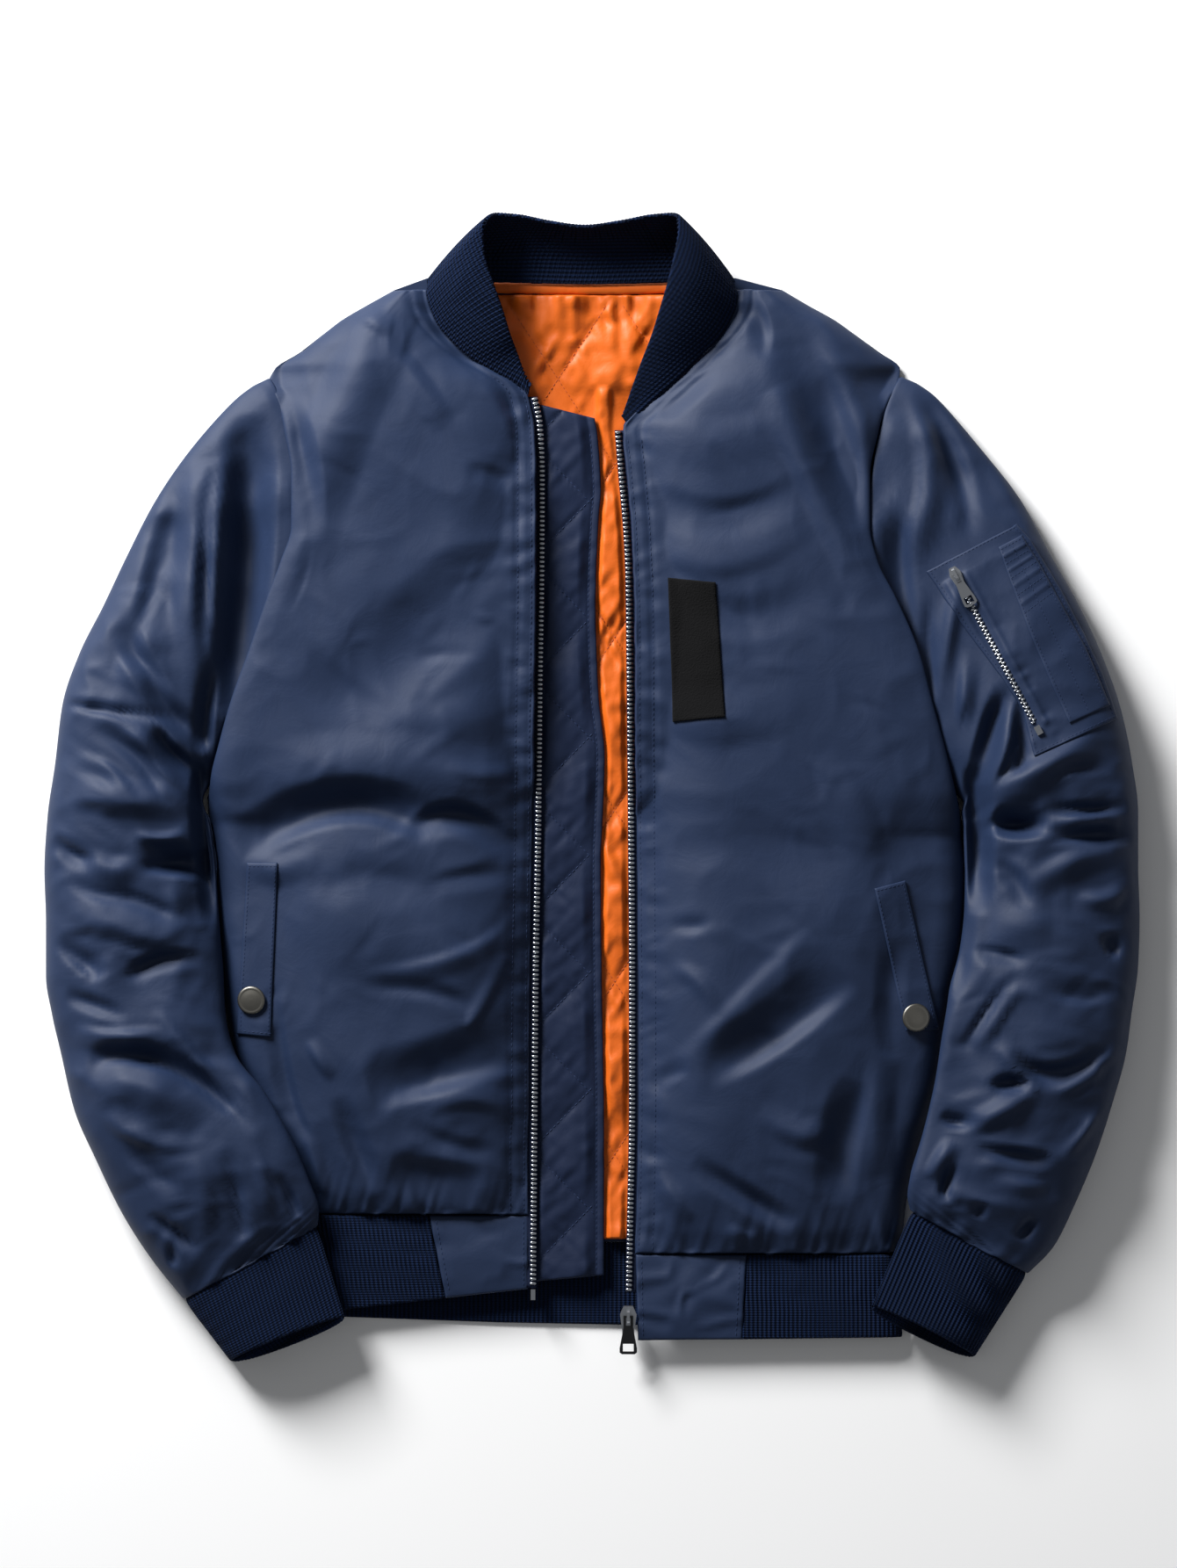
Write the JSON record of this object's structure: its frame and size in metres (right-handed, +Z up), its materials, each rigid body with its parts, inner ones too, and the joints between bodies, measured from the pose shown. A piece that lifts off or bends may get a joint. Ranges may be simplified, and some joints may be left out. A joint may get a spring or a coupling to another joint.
{
  "type": "bomber jacket",
  "caption": "Zip-up bomber jacket laid flat and part open: curved sleeves, rib collar, cuffs and hem, quilted lining in the gap, slanted snap pockets and a sleeve pocket.",
  "frame": {"origin": "on the surface the jacket lies on, at the middle of its footprint", "axes": "+X towards the wearer's left sleeve, +Y towards the collar, +Z up off the surface"},
  "size_m": [0.7238, 0.7596, 0.0478],
  "materials": {
    "shell_nylon": "satin nylon, dark blue grey",
    "rib_knit": "matte rib knit, navy",
    "lining_nylon": "satin nylon, orange, diamond quilted",
    "loop_tape": "matte loop pile, black",
    "zip_steel": "polished steel",
    "dark_steel": "blackened steel"
  },
  "bodies": {
    "jacket": {"back": "shell_nylon", "hem_rib_back": "rib_knit", "back_lining": "lining_nylon", "neck_binding": "lining_nylon", "front_right": "shell_nylon", "front_left": "shell_nylon", "wind_flap": "shell_nylon", "sleeve_right": "shell_nylon", "sleeve_left": "shell_nylon", "cuff_right": "rib_knit", "cuff_left": "rib_knit", "collar": "rib_knit", "hem_rib_right": "rib_knit", "hem_tab_right": "shell_nylon", "hem_rib_left": "rib_knit", "hem_tab_left": "shell_nylon", "zip_right": "zip_steel", "zip_left": "zip_steel", "zip_slider": "zip_steel", "zip_box": "zip_steel", "zip_pin": "zip_steel", "chest_patch": "loop_tape", "welt_right": "shell_nylon", "welt_left": "shell_nylon", "snap_right": "dark_steel", "snap_left": "dark_steel", "pocket_panel": "shell_nylon", "pen_slot": "shell_nylon", "pocket_zip": "zip_steel", "pocket_slider": "zip_steel", "pocket_end_stop": "zip_steel"},
    "main_pull": {"zip_pull_tab": "dark_steel"},
    "pocket_pull": {"pocket_pull_tab": "zip_steel"}
  },
  "joints": [
    {"name": "main_pull_swing", "type": "hinge", "parent": "jacket", "child": "main_pull", "pos_m": [0.02399, -0.3491, 0.0167], "axis": [1, 0, 0], "range_deg": [-150, 0]},
    {"name": "pocket_pull_swing", "type": "hinge", "parent": "jacket", "child": "pocket_pull", "pos_m": [0.23922, 0.14082, 0.03763], "axis": [0.8777, 0.4737, 0.0724], "range_deg": [-150, 0]}
  ]
}
